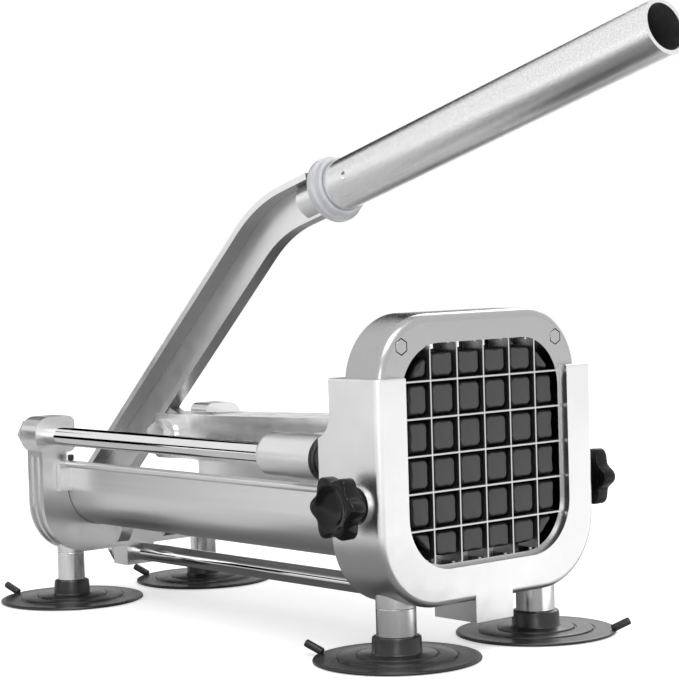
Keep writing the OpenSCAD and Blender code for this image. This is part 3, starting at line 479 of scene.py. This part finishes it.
# How far from the front or the outer side an edge still belongs to it
RIM_DEPTH = 2.5 * MM
INNER_FROM_SIDE = 5 * MM


def rounded(shape, edges, offset, segments, clamp):
    """Bevels edges by an offset in mm. The rim has tiny edges in its arcs, so it isn't clamped."""
    bmesh.ops.bevel(shape, geom=edges, offset=offset * MM, offset_type="OFFSET", segments=segments,
                    profile=0.5, affect="EDGES", clamp_overlap=clamp, material=-1)


def make_housing():
    """The housing, with its two uprights rounded at the top."""
    whole = welded("front_housing")
    top = max(vert.co.z for vert in whole.verts)
    crown = [vert.co for vert in whole.verts if vert.co.z > top - SAME]
    side = max(place.x for place in crown)
    front = min(place.y for place in crown)
    corners, rim = [], []
    for edge in whole.edges:
        low, high = (vert.co for vert in edge.verts)
        if min(low.z, high.z) < top - SAME or edge.calc_face_angle(0) < SHARP_ANGLE:
            continue
        middle = (low + high) / 2
        runs_back = abs(low.x - high.x) < SAME
        if runs_back and middle.y < front + RIM_DEPTH and abs(middle.x) < side - INNER_FROM_SIDE:
            corners.append(edge)
        elif middle.y < front + SAME or abs(middle.x) > side - RIM_DEPTH:
            rim.append(edge)
    rounded(whole, rim, TOP_RIM, 3, False)
    rounded(whole, [edge for edge in corners if edge.is_valid], TOP_CORNER, 4, True)
    finished("front_housing_dressed", whole, "front_housing", HOUSING_EDGE)


# ---------------------------------------------------------------- push block

# Square posts on the grid's pitch, cut to a rounded field, on the base with its teeth. HALF is
# half a width and CORNER the radius of the corners, in mm.
CELL_PITCH, CELLS = 12.7, 6
POST_HALF, POST_CORNER = 5.5, 2.5
FIELD_HALF, FIELD_CORNER = 35.1, 15.4
# The post's rings from root to crown: how far behind the seat, and how far drawn in
POST_RINGS = [(12.6, 0.0), (1.4, 0.0), (0.6, 0.3), (0.05, 0.85), (-0.15, 1.25), (-0.2, 1.45)]
POST_ROOT = 12.45
POST_STEPS = 72
# The four corner posts are cut short, so their outline is measured from a middle nearer the grid's
CORNER_POST_FROM = 30
CORNER_POST_PULL = 0.91
# How widely the field's arc is blended into a post's sides
ARC_BLEND = 1.4
# The outline is found by halving, from no further out than this
FURTHEST, HALVINGS = 9.0, 18


def past_corner(x, z, half, corner):
    """How far a point lies outside a rounded square, negative inside."""
    over = (abs(x) - half + corner, abs(z) - half + corner)
    return math.hypot(max(over[0], 0), max(over[1], 0)) + min(max(over), 0) - corner


def outside_post(px, pz, x, z):
    """Whether a point lies outside the post at x, z, or outside the field."""
    square = past_corner(px - x, pz - z, POST_HALF, POST_CORNER)
    field = past_corner(px, pz, FIELD_HALF, FIELD_CORNER)
    blend = max(ARC_BLEND - abs(square - field), 0)
    return max(square, field) + blend * blend / (4 * ARC_BLEND) > 0


def post_outline(x, z):
    """The middle of one post, and how far its outline lies from there each way round."""
    at_corner = abs(x) > CORNER_POST_FROM and abs(z) > CORNER_POST_FROM
    pull = CORNER_POST_PULL if at_corner else 1.0
    middle = (x * pull, z * pull)
    reaches = []
    for k in range(POST_STEPS):
        angle = 2 * math.pi * k / POST_STEPS
        way = (math.cos(angle), math.sin(angle))
        low, high = 0.0, FURTHEST
        for _ in range(HALVINGS):
            reach = (low + high) / 2
            if outside_post(middle[0] + way[0] * reach, middle[1] + way[1] * reach, x, z):
                high = reach
            else:
                low = reach
        reaches.append((way, low))
    return middle, reaches


def post(x, z):
    (mx, mz), reaches = post_outline(x, z)
    rings = []
    for y, inset in POST_RINGS:
        rings.append([at(mx + way[0] * (reach - inset), y, GRID_Z + mz + way[1] * (reach - inset))
                      for way, reach in reaches])
    return grown(rings)


def make_push_block():
    """The base with its teeth from the CAD node, cut off at the root, and a new set of posts."""
    whole = welded("push_block")
    everything = whole.verts[:] + whole.edges[:] + whole.faces[:]
    cut = bmesh.ops.bisect_plane(whole, geom=everything, plane_co=at(0, POST_ROOT, 0),
                                 plane_no=(0, 1, 0), clear_inner=True)
    rim = [part for part in cut["geom_cut"] if isinstance(part, bmesh.types.BMEdge)]
    bmesh.ops.edgenet_fill(whole, edges=rim)
    bmesh.ops.recalc_face_normals(whole, faces=whole.faces)
    places = [(k + 0.5 - CELLS / 2) * CELL_PITCH for k in range(CELLS)]
    for x in places:
        for z in places:
            put(post(x, z), whole)
    finished("push_block_moulded", whole, "push_block")


# ---------------------------------------------------------------- star knobs

# The knob's rings from its inner face to its dished middle: the size, how far the star has become
# round, from 0 to 1, and the height above the inner face
KNOB_RINGS = [
    (10.7, 0, 0.0), (11.2, 0, 0.25), (11.5, 0, 0.8), (11.5, 0, 4.8), (11.4, 0, 5.2), (11.1, 0, 5.6),
    (10.6, 0, 5.87), (10.0, 0.05, 6.0), (8.4, 0.7, 6.0), (7.6, 1, 5.95), (7.2, 1, 5.75),
    (6.6, 1, 5.4), (5.0, 1, 5.0), (3.0, 1, 4.8), (1.2, 1, 4.75),
]
KNOB_RADIUS, KNOB_VALLEY, KNOB_LOBES, KNOB_THICK = 11.5, 2.5, 6, 6.0
KNOB_STEPS = 120
KNOB_Y, KNOB_Z = 7.6, 55.0
# The hub behind the star: its radius, its bevel's width and depth, and how far it enters the star
HUB_RADIUS, HUB_BEVEL, HUB_BEVEL_DEPTH, HUB_ENTRY = 5.75, 0.5, 0.4, 0.1
HUB_STEPS = 48


def star_ring(size, roundness, height):
    """One ring of the star, whose valleys lie between lobes and fade as it becomes round."""
    ring = []
    for k in range(KNOB_STEPS):
        angle = 2 * math.pi * k / KNOB_STEPS
        star = 1 - KNOB_VALLEY / KNOB_RADIUS * (0.5 - 0.5 * math.cos(KNOB_LOBES * angle))
        radius = size * ((1 - roundness) * star + roundness)
        ring.append(Vector((radius * math.cos(angle), radius * math.sin(angle), height)) * MM)
    return ring


def make_knob(side, sign):
    """A knob on the left, sign -1, or on the right, sign 1."""
    low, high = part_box(side + "_knob")
    root, face = sorted((abs(low.x) / MM, abs(high.x) / MM))
    base = face - KNOB_THICK
    out = turn(90 * sign, "Y")
    whole = bmesh.new()
    star = grown([star_ring(*ring) for ring in KNOB_RINGS])
    put(star, whole, turn(90, "Z"), out, move(sign * base, KNOB_Y, KNOB_Z))
    hub_top = base - root + HUB_ENTRY
    hub = [(0, 0), (HUB_RADIUS - HUB_BEVEL, 0), (HUB_RADIUS, HUB_BEVEL_DEPTH),
           (HUB_RADIUS, hub_top), (0, hub_top)]
    put(turned(hub, HUB_STEPS), whole, out, move(sign * root, KNOB_Y, KNOB_Z))
    finished(side + "_knob_moulded", whole, side + "_knob")


make_cups()
make_housing()
make_push_block()
make_knob("left", -1)
make_knob("right", 1)

# ---------------------------------------------------------------- pieces kept from the CAD

# How far each piece's edges are rounded, in mm, and in how many segments
EDGES = {
    "blade_frame": (0.4, 3), "vertical_blades": (0.08, 1), "horizontal_blades": (0.08, 1),
    "blade_pins": (0.1, 1), "frame_screws": (0.1, 1), "rear_bracket": (0.7, 3),
    "trough": (0.15, 2), "upper_rods": (0.4, 2), "lower_rod": (0.4, 2), "rod_nuts": (0.3, 2),
    "rod_rings": (0.4, 2), "rim_pads": (0.5, 3), "front_legs": (0.3, 2), "rear_legs": (0.3, 2),
    "leg_screws": (0.2, 1), "pivot_bolt": (0.4, 2), "pivot_nut": (0.4, 2), "carriage": (0.5, 3),
    "sleeve_bushings": (0.2, 1), "block_screws": (0.3, 2), "lever_arm": (0.5, 3),
    "pivot_bushing": (0.2, 1), "handle_tube": (0.35, 3), "handle_collar": (0.7, 3),
    "handle_pin": (0.2, 1), "link": (0.7, 3), "link_bolt": (0.4, 2), "link_nut": (0.4, 2),
    "link_front_pin": (0.3, 2), "left_pad": (0.2, 1), "left_stem": (0.2, 1),
    "right_pad": (0.2, 1), "right_stem": (0.2, 1),
}
for node, (edge, segments) in EDGES.items():
    finished(node + "_dressed", welded(node), node, edge, segments)

# ---------------------------------------------------------------- studio

WHITE = (1, 1, 1, 1)
MIDDLE = (0, 0, 0.08)
FLOOR_SIZE = 12.0
FLOOR_DROP = 0.0002
FLOOR_OWN_LIGHT = 0.5
WORLD_FILL = 0.55

# Each lamp: its place, its size, and its power in watts. All point at the middle of the press.
LAMPS = {
    "key": ((-0.5, -0.7, 1.3), (0.9, 0.9), 9),
    "front": ((-1.05, -1.15, 0.35), (0.5, 0.35), 2.2),
    "rim": ((0.9, 0.6, 0.9), (0.8, 0.8), 5),
}
# Each card: its place, the point it faces, its size, and how bright it is. The first four lie on
# the bench, the next two stand beside the press, and the last two hang behind it.
CARDS = {
    "bench_card": ((0, 0.15, -0.0001), (0, 0.15, 1), (0.84, 0.54), 0.6),
    "under_card": ((0, 0.06, 0.0), (0, 0.06, 1), (0.1, 0.22), 0.1),
    "front_card": ((-0.135, -0.125, -0.00005), (-0.135, -0.125, 1), (0.33, 0.35), 0.24),
    "lever_card": ((0.12, 0.055, -0.00005), (0.12, 0.055, 1), (0.14, 0.19), 0.08),
    "line_card": ((-0.255, 0.4275, 0.0865), (1, 0.4275, 0.0865), (0.385, 0.063), 0.0),
    "bracket_card": ((-0.255, 0.475, 0.0275), (1, 0.475, 0.0275), (0.29, 0.055), 0.0),
    "back_card": ((0.45, 0.85, 0.5), MIDDLE, (0.8, 0.62), 0.0),
    "top_card": ((-0.087, 0.95, 0.38), MIDDLE, (0.46, 0.34), 0.0),
}


def seen_directly(tree):
    """1 for a ray from the camera, a reflection or a refraction, and 0 for any other."""
    rays = tree.nodes.new("ShaderNodeLightPath")
    seen = rays.outputs["Is Camera Ray"]
    for kind in ("Is Glossy Ray", "Is Transmission Ray"):
        either = tree.nodes.new("ShaderNodeMath")
        either.operation = "MAXIMUM"
        tree.links.new(seen, either.inputs[0])
        tree.links.new(rays.outputs[kind], either.inputs[1])
        seen = either.outputs["Value"]
    return seen


def studio_material(name, colour):
    """A dull surface, and the shader that its light is set on."""
    material = bpy.data.materials.new(name)
    material.use_nodes = True
    shader = material.node_tree.nodes["Principled BSDF"]
    shader.inputs["Base Color"].default_value = colour
    shader.inputs["Specular IOR Level"].default_value = 0.0
    shader.inputs["Emission Color"].default_value = WHITE
    return material, shader


def studio_sheet(name, size, material):
    """A flat sheet that isn't part of the press."""
    shape = bmesh.new()
    bmesh.ops.create_grid(shape, x_segments=1, y_segments=1, size=0.5)
    bmesh.ops.scale(shape, vec=(*size, 1), verts=shape.verts)
    mesh = bpy.data.meshes.new(name)
    shape.to_mesh(mesh)
    shape.free()
    mesh.materials.append(material)
    sheet = bpy.data.objects.new(name, mesh)
    bpy.context.scene.collection.objects.link(sheet)
    return sheet


def aim(thing, place, target, front):
    """Puts a thing in its place, with its front axis towards the target."""
    thing.location = place
    thing.rotation_euler = (Vector(target) - Vector(place)).to_track_quat(front, "Y").to_euler()


def make_floor():
    """A pale floor that the camera and the reflections see a little brighter than it is lit."""
    material, shader = studio_material("pale_floor", (0.9, 0.9, 0.9, 1))
    shader.inputs["Roughness"].default_value = 0.9
    tree = material.node_tree
    level = tree.nodes.new("ShaderNodeMath")
    level.operation = "MULTIPLY"
    level.inputs[1].default_value = FLOOR_OWN_LIGHT
    tree.links.new(seen_directly(tree), level.inputs[0])
    tree.links.new(level.outputs["Value"], shader.inputs["Emission Strength"])
    studio_sheet("floor", (FLOOR_SIZE, FLOOR_SIZE), material).location.z = -FLOOR_DROP


def make_world():
    """White where it is seen, and a soft fill on the press."""
    world = bpy.data.worlds.new("studio")
    bpy.context.scene.world = world
    world.use_nodes = True
    tree = world.node_tree
    tree.nodes.clear()
    level = tree.nodes.new("ShaderNodeMapRange")
    level.inputs["To Min"].default_value = WORLD_FILL
    level.inputs["To Max"].default_value = 1.0
    tree.links.new(seen_directly(tree), level.inputs["Value"])
    background = tree.nodes.new("ShaderNodeBackground")
    background.inputs["Color"].default_value = WHITE
    tree.links.new(level.outputs["Result"], background.inputs["Strength"])
    output = tree.nodes.new("ShaderNodeOutputWorld")
    tree.links.new(background.outputs["Background"], output.inputs["Surface"])


def make_lamp(name, place, size, power):
    light = bpy.data.lights.new(name, "AREA")
    light.shape = "RECTANGLE"
    light.size, light.size_y = size
    light.energy = power
    lamp = bpy.data.objects.new(name, light)
    bpy.context.scene.collection.objects.link(lamp)
    aim(lamp, place, MIDDLE, "-Z")


def make_card(name, place, target, size, level):
    """A card seen only in reflections and refractions, which gives the metal its darker tones."""
    material, shader = studio_material(name, (0, 0, 0, 1))
    shader.inputs["Emission Strength"].default_value = level
    card = studio_sheet(name, size, material)
    aim(card, place, target, "Z")
    card.visible_camera = False
    card.visible_diffuse = False
    card.visible_shadow = False


make_floor()
make_world()
for name, lamp in LAMPS.items():
    make_lamp(name, *lamp)
for name, card in CARDS.items():
    make_card(name, *card)

# ---------------------------------------------------------------- camera

IMAGE = 679
FOCAL_PIXELS = 2125.33
SENSOR = 36
NEAREST, FURTHEST_SEEN = 0.01, 50
YAW, PITCH, ROLL = (math.radians(a) for a in (-40.84, 2.33, -1.64))
EYE = at(-520.14, -526.66, 139.84)


def make_camera():
    back = Vector((math.sin(YAW) * math.cos(PITCH), -math.cos(YAW) * math.cos(PITCH),
                   math.sin(PITCH)))
    right = Vector((math.cos(YAW), math.sin(YAW), 0))
    up = back.cross(right)
    rolled_right = math.cos(ROLL) * right + math.sin(ROLL) * up
    rolled_up = -math.sin(ROLL) * right + math.cos(ROLL) * up
    data = bpy.data.cameras.new("camera")
    data.sensor_width = SENSOR
    data.lens = SENSOR * FOCAL_PIXELS / IMAGE
    data.clip_start, data.clip_end = NEAREST, FURTHEST_SEEN
    camera = bpy.data.objects.new("camera", data)
    bpy.context.scene.collection.objects.link(camera)
    axes = Matrix((rolled_right, rolled_up, back)).transposed().to_4x4()
    camera.matrix_world = Matrix.Translation(EYE) @ axes
    bpy.context.scene.camera = camera


make_camera()
bpy.context.scene.view_settings.view_transform = "Standard"
